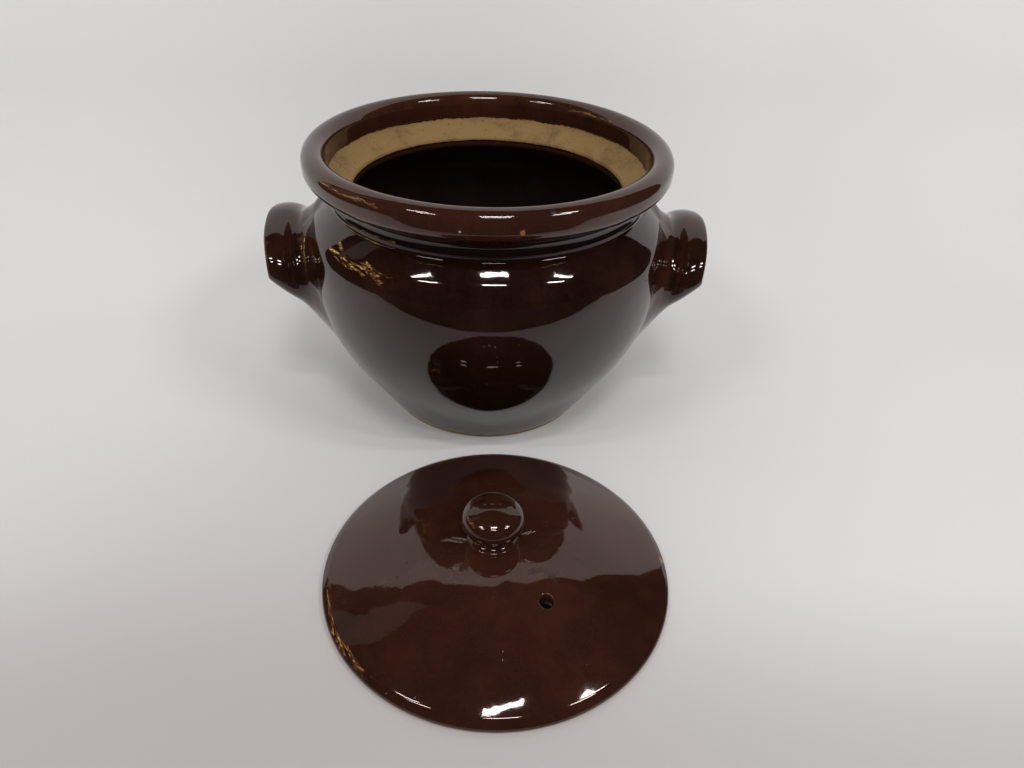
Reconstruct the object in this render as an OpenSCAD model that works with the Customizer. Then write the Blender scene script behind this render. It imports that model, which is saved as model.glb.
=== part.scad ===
// Glazed stoneware bean pot with two lug handles and a loose domed lid.
// The pot stands on its flat base at the origin, with the lugs on the X axis.
// The lid lies on the table in front of the pot, knob up. Lengths are in millimetres.

/* [Pot] */
// Height of the pot to the top of its rim
pot_h = 190; // [186:1:196]
// Greatest radius of the belly
belly_r = 124; // [120:0.5:128]
// Distance of the belly's widest line below the rim
belly_drop = 73; // [68:1:80]
// Radius of the wall's curve just above the widest line
belly_arc_r = 70; // [60:1:90]
// Radius of the tighter curve where the belly turns into the shoulder
turn_arc_r = 28; // [24:1:36]
// Radius of the nearly straight shoulder
shoulder_arc_r = 150; // [120:5:200]
// Radius of the curve from the belly down towards the foot
flank_arc_r = 140; // [125:1:160]
// Height at which that curve turns into the straight lower wall
flank_end_z = 43; // [36:1:50]
// Thickness of the wall
wall_t = 8.5; // [6:0.5:11]
// Thickness of the floor
floor_t = 10; // [7:0.5:14]
// Radius of the corner between floor and wall inside
floor_corner_r = 18; // [10:1:24]
// Height of the undercut round the foot
foot_undercut_h = 4.5; // [2:0.5:6]
// Depth of the undercut round the foot
foot_undercut_d = 3; // [1.5:0.5:4]

/* [Neck and rim] */
// Distance of the crease between shoulder and neck below the rim
crease_drop = 35; // [33:0.5:38]
// Height of the small step above the crease
crease_step_h = 1.4; // [0.8:0.2:2]
// Depth of the small step above the crease
crease_step_d = 0.7; // [0.3:0.1:1]
// Smallest outer radius of the neck
neck_r = 104.3; // [102.5:0.1:105]
// Radius of the hollow round the neck
neck_cove_r = 7.5; // [7:0.25:8]
// Radius of the two arcs in the section of the rim roll
roll_r = 7.75; // [7:0.25:8.5]
// Height of the whole rim roll
roll_h = 19.1; // [17:0.1:21]
// Radius of the circle that the roll's section runs along
roll_centre_r = 113.5; // [112:0.5:115]

/* [Gallery] */
// Radius of the throat inside the gallery
throat_r = 91; // [86:1:93]
// Distance of the throat's upper edge below the rim
throat_drop = 28.8; // [27:0.2:31]
// Rounding of the throat's upper edge
throat_edge_r = 2.5; // [1:0.5:3]
// Distance of the gallery's outer edge below the rim
gallery_drop = 19; // [17:0.5:22]
// Thickness of the gallery at the throat
gallery_lip_t = 6; // [4:0.5:8]
// Distance below the rim at which the gallery's underside meets the inner wall
gallery_root_drop = 44; // [40:1:48]

/* [Lug handles] */
// Distance by which the lugs stand out from the belly
lug_depth = 28.5; // [25:0.5:33]
// Distance of the lug's crest below the rim
lug_top_drop = 51; // [48:1:56]
// Height of the lug above its longest level, at the crest
lug_rise = 30; // [26:1:34]
// Half the length of a lug along its lip
lug_half_l = 50; // [45:1:54]
// Depth of the lug below its longest level, at the outer face
lug_face_drop = 4; // [3:0.5:8]
// Slope of the underside, as fall for each unit of depth
lug_under_slope = 1.22; // [1:0.02:1.4]
// Rise of the longest level from the wall to the lip, as rise for each unit
lug_mid_slope = 0.4; // [0.1:0.05:0.6]
// Rounding across the lip
lug_lip_r = 14; // [11:0.5:18]
// Rounding of the edge between lip and outer face
lug_edge_r = 3; // [2:0.5:5]
// Depth of the finger groove behind the lip
lug_groove_d = 1.4; // [0.5:0.1:2.5]
// Distance from the belly to the inner edge of the finger groove
lug_neck_t = 2.5; // [1.5:0.5:5]
// Radius of the curve in which the lug's top rises into the shoulder
lug_flare_r = 12; // [9:1:18]

/* [Lid] */
// Radius of the lid
lid_r = 100; // [96:0.5:102]
// Height of the lid's dome, without the knob
lid_h = 30; // [26:1:34]
// Thickness of the lid's edge
lid_edge_t = 5; // [4:0.25:6]
// Thickness of the dome at its middle
lid_t = 7; // [5:0.5:8]
// Width of the flat ring that the lid rests on
lid_ring_w = 7.5; // [5:0.5:10]
// Radius of the steam vent
vent_r = 3.9; // [3:0.1:4.5]
// Place of the vent from the lid's middle, to the right
vent_x = 25.8; // [20:0.1:30]
// Place of the vent from the lid's middle, towards the front
vent_y = 40.9; // [36:0.1:48]
// Distance from the middle of the pot to the middle of the lid on the table
lid_place = 198.7; // [195:0.1:230]
// Distance by which the lid lies right of the pot's middle
lid_side = 6.9; // [0:0.1:20]

/* [Knob] */
// Radius of the knob
knob_r = 17.5; // [15:0.5:20]
// Height of the knob's flattened ball
knob_h = 22; // [18:1:24]
// Height of the knob's top above the lid's rim
knob_top = 55; // [52:1:60]
// Rounding of the knob's side
knob_side_r = 8; // [6:0.5:8.5]
// Radius of the knob's neck
knob_neck_r = 10.8; // [9:0.2:12.4]
// Radius of the hollow round the knob's neck
knob_cove_r = 3; // [2:0.25:3.5]
// Radius of the collar under the neck
knob_collar_r = 14.5; // [14:0.5:17]
// Height of the collar's upper edge above the lid's dome
knob_collar_h = 1; // [0.5:0.25:2]
// Rounding of the collar's edge
knob_collar_round = 0.8; // [0.4:0.1:1]
// Distance by which the knob sits left of the lid's middle
knob_off = 2.5; // [0:0.5:4]

/* [Hidden] */
$fn = 96;

// heights that hang from the rim
belly_z = pot_h - belly_drop;
crease_z = pot_h - crease_drop;
throat_z = pot_h - throat_drop;
gallery_z = pot_h - gallery_drop;
gallery_root_z = pot_h - gallery_root_drop;
// the shoulder's three arcs, each tangent to the next: steepness of the wall where they join
turn_low_a = 12;
turn_high_a = 44;
// sections that follow each other lap by this height, inside the wall or the room, and where one
// runs smoothly into the next, it stands out by this much, so that their edges cross cleanly
section_lap = 2;
section_ease = 0.002;
belly_cx = belly_r - belly_arc_r;
turn_cx = belly_cx + (belly_arc_r - turn_arc_r) * cos(turn_low_a);
turn_cz = belly_z + (belly_arc_r - turn_arc_r) * sin(turn_low_a);
shoulder_cx = turn_cx - (shoulder_arc_r - turn_arc_r) * cos(turn_high_a);
shoulder_cz = turn_cz - (shoulder_arc_r - turn_arc_r) * sin(turn_high_a);
// where the flank arc ends, and the slope of the straight wall below it
flank_cx = belly_r - flank_arc_r;
flank_angle = asin((belly_z - flank_end_z) / flank_arc_r);
flank_end_r = flank_cx + flank_arc_r * cos(flank_angle);
foot_r = flank_end_r - (flank_end_z - foot_undercut_h) * tan(flank_angle);
// inner end of the flank arc, at the same angle as the outer one
inner_arc_r = flank_arc_r - wall_t;
inner_end_r = flank_cx + inner_arc_r * cos(flank_angle);
inner_end_z = belly_z - inner_arc_r * sin(flank_angle);
// centre of the corner between floor and wall
corner_z = floor_t + floor_corner_r;
corner_x = inner_end_r - (inner_end_z - corner_z) * tan(flank_angle)
    - floor_corner_r / cos(flank_angle);
// radius of the outside at the crease, and of the inside where the gallery's underside starts
crease_r = wall_r(crease_z, 0);
gallery_root_r = wall_r(gallery_root_z, wall_t);
gallery_root_slope = (gallery_root_r - throat_r) / (throat_z - gallery_lip_t - gallery_root_z);
// centre of the hollow round the neck, above the crease by this share of its radius
cove_x = neck_r + neck_cove_r;
cove_rise = 0.8;
cove_z = crease_z + cove_rise * neck_cove_r;
// the two arcs of the roll, the straight wall inside it and its underside
roll_top_z = pot_h - roll_r;
roll_low_z = pot_h - roll_h + roll_r;
mouth_r = roll_centre_r - roll_r;
roll_under_angle = -60;
roll_under_x = roll_centre_r + (roll_r - section_ease) * cos(roll_under_angle);
roll_under_z = roll_low_z + (roll_r - section_ease) * sin(roll_under_angle);
// rounding of the throat's edge, touching the throat and the sloping gallery
gallery_angle = atan((gallery_z - throat_z) / (mouth_r - throat_r));
bead_x = throat_r + throat_edge_r;
bead_z = throat_z + throat_edge_r * (tan(gallery_angle) - 1 / cos(gallery_angle));
// sphere of the dome, outside and inside
dome_r = (pow(lid_r, 2) + pow(lid_h - lid_edge_t, 2)) / (2 * (lid_h - lid_edge_t));
dome_z = lid_h - dome_r;
hollow_edge_r = lid_r - lid_edge_t / 2 - lid_ring_w;
hollow_h = lid_h - lid_t;
hollow_r = (pow(hollow_edge_r, 2) + pow(hollow_h, 2)) / (2 * hollow_h);
hollow_z = hollow_h - hollow_r;
// the knob's section: a small arc at the side and wide ones above and below
knob_mid_z = knob_top - knob_h / 2;
knob_side_x = knob_r - knob_side_r;
knob_wide_r = (pow(knob_side_x, 2) + pow(knob_h / 2, 2) - pow(knob_side_r, 2))
    / (knob_h - 2 * knob_side_r);
knob_wide_drop = knob_wide_r - knob_h / 2;
knob_touch_x = knob_side_x * knob_wide_r / (knob_wide_r - knob_side_r);
// share of the cove's radius by which the neck's block is wider than the neck
knob_block_share = 0.8;
// section of the lug along its depth: outer face, edge, lip, groove, root
lug_face_bulge = 1;
lug_edge_a = 28;
lug_arris_a = 36;
lug_reach = belly_r + lug_depth;
lug_edge_x = lug_reach - lug_face_bulge - lug_edge_r;
lug_crest_x = lug_edge_x - (lug_lip_r - lug_edge_r) * sin(lug_edge_a);
lug_edge_inset = lug_lip_r - (lug_lip_r - lug_edge_r) * cos(lug_edge_a);
lug_arris_x = lug_crest_x - lug_lip_r * sin(lug_arris_a);
lug_arris_inset = lug_lip_r * (1 - cos(lug_arris_a));
lug_groove_min = 6;
lug_groove_x = min(belly_r + lug_neck_t, lug_arris_x - lug_groove_min);
lug_groove_w = lug_arris_x - lug_groove_x;
// the top starts to rise into the shoulder at this share of the groove's width from its inner edge
lug_rise_share = 0.6;
lug_rise_x = lug_groove_x + lug_rise_share * lug_groove_w;
// the top dips less across the lip and groove than the ends do
lug_top_share = 0.7;
// slope and curve of the ends where they spread into the wall
lug_spread = 0.55;
lug_spread_r = 10;
// the lug starts this far inside the belly, and stays this far below the crease
lug_inner_x = belly_r - 24;
lug_root_top_z = crease_z - 3;
lug_top_z = pot_h - lug_top_drop;
lug_mid_z = lug_top_z - lug_rise;
// roundness of the rings: above and below the longest level
lug_arch_power = 1.75;
lug_bowl_power = 2.3;
// points on each ring of the lug, and the distances of the rings, from inside the wall outwards
lug_points = 44;
lug_depths = concat(
    [for (i = [0:9]) lug_inner_x + (lug_groove_x - lug_inner_x) * i / 10],
    [for (i = [0:5]) lug_groove_x + lug_groove_w * i / 6],
    [for (i = [0:7]) lug_crest_x + lug_lip_r * sin((lug_edge_a + lug_arris_a) * i / 8 - lug_arris_a)]
);
lug_edge_angles = [for (i = [0:4]) lug_edge_a + (90 - lug_edge_a) * i / 4];
lug_face_shares = [0.9, 0.75, 0.55, 0.3, 0.02];

// Radius of the wall above the widest line at height z, t inside the outer skin.
function wall_r(z, t) =
    z < belly_z + (belly_arc_r - t) * sin(turn_low_a)
        ? belly_cx + sqrt(pow(belly_arc_r - t, 2) - pow(z - belly_z, 2)) :
    z < turn_cz + (turn_arc_r - t) * sin(turn_high_a)
        ? turn_cx + sqrt(pow(turn_arc_r - t, 2) - pow(z - turn_cz, 2)) :
    shoulder_cx + sqrt(pow(shoulder_arc_r - t, 2) - pow(z - shoulder_cz, 2));

// Part of a circle between two heights, filled to the axis.
module arc_band(cx, cz, r, z_low, z_high) {
    intersection() {
        translate([cx, cz]) circle(r = r, $fn = 180);
        translate([max(cx, 0), z_low]) square([r + 1, z_high - z_low]);
    }
    if (cx > 0)
        translate([0, z_low]) square([cx, z_high - z_low]);
}

// The three arcs of belly and shoulder up to a height, t inside the outer skin. The tighter middle
// arc lies inside its neighbours where it runs on past its ends, so it laps over both.
module shoulder_half(t, top_z) {
    turn_low_z = belly_z + (belly_arc_r - t) * sin(turn_low_a);
    turn_high_z = turn_cz + (turn_arc_r - t) * sin(turn_high_a);
    arc_band(belly_cx, belly_z, belly_arc_r - t, belly_z, min(turn_low_z, top_z));
    if (top_z > turn_low_z)
        arc_band(turn_cx, turn_cz, turn_arc_r - t + section_ease, turn_low_z - section_lap,
            min(turn_high_z + section_lap, top_z));
    if (top_z > turn_high_z)
        arc_band(shoulder_cx, shoulder_cz, shoulder_arc_r - t, turn_high_z, top_z);
}

// Outside of the pot up to the crease, filled to the axis.
module body_half() {
    shoulder_half(0, crease_z);
    arc_band(flank_cx, belly_z, flank_arc_r, flank_end_z - section_lap, belly_z);
    polygon([
        [0, 0],
        [foot_r - foot_undercut_d, 0],
        [foot_r, foot_undercut_h],
        [flank_end_r - section_ease, flank_end_z],
        [0, flank_end_z]
    ]);
}

// Neck and rim roll, filled to the axis.
module neck_half() {
    difference() {
        polygon([
            [0, crease_z - section_lap],
            [neck_r, crease_z - section_lap],
            [neck_r, crease_z],
            [cove_x, crease_z],
            [cove_x, cove_z + neck_cove_r],
            [roll_under_x, roll_under_z],
            [roll_centre_r, roll_low_z],
            [0, roll_low_z]
        ]);
        translate([cove_x, cove_z]) circle(r = neck_cove_r);
        translate([crease_r - crease_step_d, crease_z]) square([neck_cove_r, crease_step_h]);
    }
    translate([roll_centre_r, roll_low_z]) circle(r = roll_r);
    translate([mouth_r, roll_low_z]) square([2 * roll_r, roll_top_z - roll_low_z]);
    translate([roll_centre_r, roll_top_z]) circle(r = roll_r);
}

// Room inside the pot, from the floor to the throat.
module cavity_half() {
    shoulder_half(wall_t, gallery_root_z);
    arc_band(flank_cx, belly_z, inner_arc_r, inner_end_z - section_lap, belly_z);
    polygon([
        [0, floor_t],
        [corner_x, floor_t],
        [corner_x + floor_corner_r * cos(flank_angle), corner_z - floor_corner_r * sin(flank_angle)],
        [inner_end_r - section_ease, inner_end_z],
        [0, inner_end_z]
    ]);
    translate([corner_x, corner_z]) circle(r = floor_corner_r + section_ease);
    polygon([
        [0, gallery_root_z - section_lap],
        [gallery_root_r + section_lap * gallery_root_slope, gallery_root_z - section_lap],
        [throat_r, throat_z - gallery_lip_t],
        [0, throat_z - gallery_lip_t]
    ]);
}

// Room above the gallery, where the lid goes.
module mouth_half() {
    polygon([
        [0, throat_z - gallery_lip_t],
        [throat_r, throat_z - gallery_lip_t],
        [throat_r, bead_z],
        [bead_x - throat_edge_r * sin(gallery_angle), bead_z + throat_edge_r * cos(gallery_angle)],
        [mouth_r, gallery_z],
        [mouth_r, roll_top_z],
        [0, roll_top_z]
    ]);
}

module pot_body() {
    color([0.25, 0.10, 0.07])
    rotate_extrude($fn = 180) {
        difference() {
            union() {
                body_half();
                neck_half();
            }
            cavity_half();
            mouth_half();
        }
        translate([bead_x, bead_z]) circle(r = throat_edge_r);
    }
}

// Inset of the lug's outline at distance x from the middle of the pot: the rounded lip,
// and the finger groove behind it.
function lip_inset(x) =
    x >= lug_arris_x ? lug_lip_r - sqrt(max(0, pow(lug_lip_r, 2) - pow(x - lug_crest_x, 2))) :
    x >= lug_groove_x ? lug_arris_inset + lug_groove_d * sin(180 * (x - lug_groove_x) / lug_groove_w) :
    lug_arris_inset;

// Growth of the lug's half length where its ends spread into the wall.
function root_spread(x) =
    x >= lug_groove_x ? 0 :
    lug_spread * (lug_groove_x - x) + pow(lug_groove_x - x, 2) / (2 * lug_spread_r);

// Rise of the lug's top where it flares into the shoulder.
function root_flare(x) = x >= lug_rise_x ? 0 : pow(lug_rise_x - x, 2) / (2 * lug_flare_r);

// A power that keeps the sign of its base.
function signed_pow(v, p) = sign(v) * pow(abs(v), p);

// One closed ring of the lug, an arch above and a bowl below, bent round the pot. The insets take
// from its length and its top, and a share under 1 shrinks the ring, which closes the outer face.
function lug_ring(x, side_inset, top_inset, share) =
    let (
        half_l = share * min(lug_half_l - side_inset + root_spread(x), lug_half_l + lug_spread_r),
        top_z = min(lug_top_z - top_inset + root_flare(x), lug_root_top_z),
        mid_z = lug_mid_z + (x - lug_crest_x) * lug_mid_slope,
        rise = share * (top_z - mid_z),
        under_z = lug_mid_z - lug_face_drop - (lug_reach - x) * lug_under_slope,
        drop = share * max(lug_face_drop, mid_z - under_z)
    )
    [for (i = [0:lug_points - 1])
        let (
            a = 360 * i / lug_points,
            above = sin(a) >= 0,
            bend = 2 / (above ? lug_arch_power : lug_bowl_power),
            y = half_l * signed_pow(cos(a), bend)
        )
        [x - y * y / (2 * lug_reach), y, mid_z + (above ? rise : drop) * signed_pow(sin(a), bend)]];

// All rings of the lug: root, groove and lip, the rounded edge, and the outer face.
function lug_rings() = concat(
    [for (x = lug_depths) lug_ring(x, lip_inset(x), lug_top_share * lip_inset(x), 1)],
    [for (a = lug_edge_angles)
        let (
            inset = lug_edge_inset - lug_edge_r * cos(a),
            lip_part = (1 - lug_top_share) * (lug_edge_inset - lug_edge_r * cos(lug_edge_a))
        )
        lug_ring(lug_edge_x + lug_edge_r * sin(a), inset, inset - lip_part, 1)],
    [for (s = lug_face_shares)
        let (lip_part = (1 - lug_top_share) * (lug_edge_inset - lug_edge_r * cos(lug_edge_a)))
        lug_ring(lug_edge_x + lug_edge_r + lug_face_bulge * (1 - s * s),
            lug_edge_inset, lug_edge_inset - lip_part, s)]
);

// A lug: rings from inside the wall out to the flat outer face, closed at both ends.
module lug() {
    rings = lug_rings();
    n = lug_points;
    last = len(rings) - 1;
    sides = [for (k = [0:last - 1], i = [0:n - 1])
        let (a = k * n + i, b = k * n + (i + 1) % n)
        each [[a, a + n, b], [b, a + n, b + n]]];
    inner_end = [[for (i = [0:n - 1]) i]];
    outer_end = [[for (i = [n - 1:-1:0]) last * n + i]];
    difference() {
        polyhedron(points = [for (r = rings) each r], faces = concat(sides, inner_end, outer_end));
        rotate_extrude($fn = 180) {
            body_half();
            neck_half();
        }
    }
}

module right_handle() {
    color([0.28, 0.12, 0.08]) lug();
}

module left_handle() {
    color([0.28, 0.12, 0.08]) mirror([1, 0, 0]) lug();
}

// Section of the dome's outside, filled to the axis.
module dome_half() {
    intersection() {
        translate([0, dome_z]) circle(r = dome_r, $fn = 180);
        translate([0, lid_edge_t / 2]) square([lid_r, lid_h]);
    }
}

module lid() {
    edge_r = lid_edge_t / 2;
    color([0.23, 0.09, 0.06])
    translate([lid_side, -lid_place, 0])
    difference() {
        rotate_extrude($fn = 180) {
            difference() {
                union() {
                    intersection() {
                        dome_half();
                        square([lid_r - edge_r, lid_h]);
                    }
                    square([lid_r - edge_r, edge_r]);
                    translate([lid_r - edge_r, edge_r]) circle(r = edge_r);
                }
                intersection() {
                    translate([0, hollow_z]) circle(r = hollow_r, $fn = 180);
                    translate([0, -1]) square([lid_r, lid_h]);
                }
            }
        }
        translate([vent_x, -vent_y, -1]) cylinder(r = vent_r, h = lid_h + 2);
    }
}

// Section of the knob, filled to the axis: flattened ball, hollow neck and collar.
module knob_half() {
    collar_z = lid_h + knob_collar_h;
    base_z = lid_h - lid_t / 2;
    intersection() {
        translate([0, knob_mid_z - knob_wide_drop]) circle(r = knob_wide_r, $fn = 180);
        translate([0, knob_mid_z + knob_wide_drop]) circle(r = knob_wide_r, $fn = 180);
        translate([0, knob_top - knob_h]) square([knob_touch_x, knob_h]);
    }
    translate([knob_side_x, knob_mid_z]) circle(r = knob_side_r);
    difference() {
        translate([0, base_z]) square([knob_neck_r + knob_block_share * knob_cove_r, knob_mid_z - base_z]);
        translate([knob_neck_r + knob_cove_r, collar_z + knob_cove_r]) circle(r = knob_cove_r);
    }
    polygon([
        [0, base_z],
        [knob_collar_r, base_z],
        [knob_collar_r, collar_z - knob_collar_round],
        [knob_collar_r - knob_collar_round, collar_z],
        [0, collar_z]
    ]);
}

module lid_knob() {
    color([0.28, 0.11, 0.07])
    translate([lid_side, -lid_place, 0])
    difference() {
        translate([-knob_off, 0, 0]) rotate_extrude() knob_half();
        rotate_extrude($fn = 180) dome_half();
    }
}

pot_body();
left_handle();
right_handle();
lid();
lid_knob();
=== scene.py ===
from math import asin, cos, degrees, exp, hypot, pi, radians, sin, sqrt, tan

import bmesh
import bpy
from mathutils import Matrix, Vector, noise


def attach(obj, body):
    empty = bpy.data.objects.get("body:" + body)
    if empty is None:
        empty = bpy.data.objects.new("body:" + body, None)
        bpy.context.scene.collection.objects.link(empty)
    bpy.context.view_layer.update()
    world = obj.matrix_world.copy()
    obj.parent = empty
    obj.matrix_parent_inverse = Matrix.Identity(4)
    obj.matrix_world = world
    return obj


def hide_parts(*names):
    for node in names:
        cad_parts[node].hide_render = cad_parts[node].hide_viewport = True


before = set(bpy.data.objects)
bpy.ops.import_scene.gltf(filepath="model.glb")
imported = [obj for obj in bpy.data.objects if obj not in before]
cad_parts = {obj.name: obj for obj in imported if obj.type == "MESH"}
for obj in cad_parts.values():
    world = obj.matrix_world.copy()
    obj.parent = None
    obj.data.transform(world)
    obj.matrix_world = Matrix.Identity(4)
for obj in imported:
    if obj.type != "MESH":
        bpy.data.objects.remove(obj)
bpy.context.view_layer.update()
mm = 0.001  # the pieces below are sized in millimetres, the stage, lamps and camera in metres
weldGap = 2e-6  # points nearer to each other than this, in metres, become one


# small helpers for shapes
def arcPoints(centre, radius, start, end, steps):
    # Points of an arc in the half plane of radius and height, angles in degrees from straight out.
    turns = [radians(start + (end - start) * i / steps) for i in range(steps + 1)]
    return [(centre[0] + radius * cos(t), centre[1] + radius * sin(t)) for t in turns]


def linePoints(start, end, steps):
    # The points between two ends, both left out.
    return [tuple(a + (b - a) * i / steps for a, b in zip(start, end)) for i in range(1, steps)]


def unitShare(value):
    return max(0, min(1, value))


def spinOutline(bm, points, steps, innerFrom=0):
    # A closed piece from its half outline, turned once round the Z axis. The attribute inner is 1
    # from one of the outline's points on.
    inner = bm.verts.layers.float.new("inner")
    verts = [bm.verts.new((r * mm, 0, z * mm)) for r, z in points]
    for vert in verts[innerFrom:]:
        vert[inner] = 1
    edges = [bm.edges.new(pair) for pair in zip(verts, verts[1:])]
    bmesh.ops.spin(bm, geom=verts + edges, cent=(0, 0, 0), axis=(0, 0, 1), angle=2 * pi, steps=steps,
                   use_merge=True)
    bmesh.ops.remove_doubles(bm, verts=bm.verts, dist=weldGap)


def waver(place, size, seed):
    # Slow, even unevenness between -1 and 1, as a hand leaves it; size is its length.
    return noise.noise(Vector(place) / (size * mm) + Vector((seed, -seed, 2 * seed)))


def finishPiece(name, bm, material, body, slot, *nodes):
    bmesh.ops.recalc_face_normals(bm, faces=bm.faces)
    mesh = bpy.data.meshes.new(name)
    bm.to_mesh(mesh)
    bm.free()
    mesh.materials.append(material)
    mesh.shade_smooth()
    piece = bpy.data.objects.new(name, mesh)
    bpy.context.scene.collection.objects.link(piece)
    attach(piece, body)
    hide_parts(*nodes)


# small helpers for materials
def fillNode(tree, made, values, links):
    for key, value in dict(values).items():
        made.inputs[key].default_value = value
    for key, source in dict(links).items():
        tree.links.new(source, made.inputs[key])
    return made


def addNode(tree, kind, values=(), links=(), **options):
    made = tree.nodes.new("ShaderNode" + kind)
    for key, value in options.items():
        setattr(made, key, value)
    return fillNode(tree, made, values, links)


def useGroup(tree, group, values=(), links=()):
    return addNode(tree, "Group", values, links, node_tree=group)


def calc(tree, operation, *terms, clamp=False):
    made = addNode(tree, "Math", operation=operation, use_clamp=clamp)
    for socket, term in zip(made.inputs, terms):
        if isinstance(term, (int, float)):
            socket.default_value = term
        else:
            tree.links.new(term, socket)
    return made.outputs[0]


def product(tree, first, *others):
    for term in others:
        first = calc(tree, "MULTIPLY", first, term)
    return first


def fade(tree, value, low, high):
    # 0 at low, 1 at high, smooth between them.
    return addNode(tree, "MapRange", {"From Min": low, "From Max": high}, {"Value": value},
                   interpolation_type="SMOOTHSTEP").outputs[0]


def blend(tree, factor, first, second):
    # Two colours, the first where the factor is 0; sockets 6 and 7 are the node's colours.
    made = addNode(tree, "Mix", data_type="RGBA")
    for socket, term in zip((made.inputs["Factor"], made.inputs[6], made.inputs[7]), (factor, first, second)):
        if isinstance(term, (int, float)):
            socket.default_value = term
        elif isinstance(term, tuple):
            socket.default_value = (*term, 1)
        else:
            tree.links.new(term, socket)
    return made.outputs[2]


def noiseAt(tree, place, scale, detail=2.0, rough=0.5, stretch=None):
    if stretch:
        place = addNode(tree, "Mapping", {"Scale": stretch}, {"Vector": place}).outputs[0]
    values = {"Scale": scale, "Detail": detail, "Roughness": rough}
    return addNode(tree, "TexNoise", values, {"Vector": place}).outputs["Fac"]


def cellSpecks(tree, place, scale, border, rarity):
    # 1 in small round specks at the middles of a few cells.
    cells = addNode(tree, "TexVoronoi", {"Scale": scale, "Randomness": 1.0}, {"Vector": place})
    speck = calc(tree, "SUBTRACT", 1, fade(tree, cells.outputs["Distance"], *border))
    chance = addNode(tree, "SeparateColor", links={"Color": cells.outputs["Color"]}).outputs[0]
    return product(tree, speck, fade(tree, chance, *rarity))


def newGroup(name, inputs, outputs):
    tree = bpy.data.node_groups.new(name, "ShaderNodeTree")
    for label, kind, default in inputs:
        socket = tree.interface.new_socket(name=label, in_out="INPUT", socket_type="NodeSocket" + kind)
        if default is not None:
            socket.default_value = default
    for label, kind in outputs:
        tree.interface.new_socket(name=label, in_out="OUTPUT", socket_type="NodeSocket" + kind)
    start, end = tree.nodes.new("NodeGroupInput"), tree.nodes.new("NodeGroupOutput")
    return tree, start.outputs, end.inputs


# effects that several materials use
edgeLook = dict(slowScale=38, quickScale=260, quickShare=0.8)


def raggedEdgeGroup():
    # 1 where the value lies under the limit, with a border that wanders as a wiped glaze edge does.
    tree, given, result = newGroup(
        "raggedEdge",
        [("Coordinates", "Vector", None), ("Value", "Float", 0), ("Limit", "Float", 0),
         ("Wander", "Float", 0.001), ("Softness", "Float", 0.0002)],
        [("Mask", "Float")])
    place = given["Coordinates"]
    slow = calc(tree, "SUBTRACT", noiseAt(tree, place, edgeLook["slowScale"], 1), 0.5)
    quick = calc(tree, "SUBTRACT", noiseAt(tree, place, edgeLook["quickScale"], 3, 0.65), 0.5)
    wander = calc(tree, "MULTIPLY_ADD", quick, edgeLook["quickShare"], slow)
    border = calc(tree, "MULTIPLY_ADD", wander, given["Wander"], given["Limit"])
    inside = calc(tree, "SUBTRACT", border, given["Value"])
    tree.links.new(fade(tree, calc(tree, "DIVIDE", inside, given["Softness"]), -1, 1), result["Mask"])
    return tree


glazeLook = dict(
    cloudScale=16, cloudRange=(0.36, 0.68),
    runScale=55, runStretch=(1, 1, 0.22), runRange=(0.42, 0.72), runShare=0.45,
    grainScale=420, grainRange=(0.35, 0.7), grainShare=0.10,
    thinScale=130, thinRange=(0.25, 0.62),
    poolTone=(0.006, 0.003, 0.002), poolShare=0.8,
    pitCells=210, pitBorder=(0.05, 0.16), pitRarity=(0.955, 0.965), pitTone=(0.008, 0.005, 0.004),
    pitShare=0.7, pitDullness=0.3, pitHeight=-0.00018,
    smearScale=30, smearRange=(0.45, 0.75), smearDullness=0.035, roughness=0.045,
    peelScale=190, peelHeight=0.00003, swellScale=36)


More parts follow.
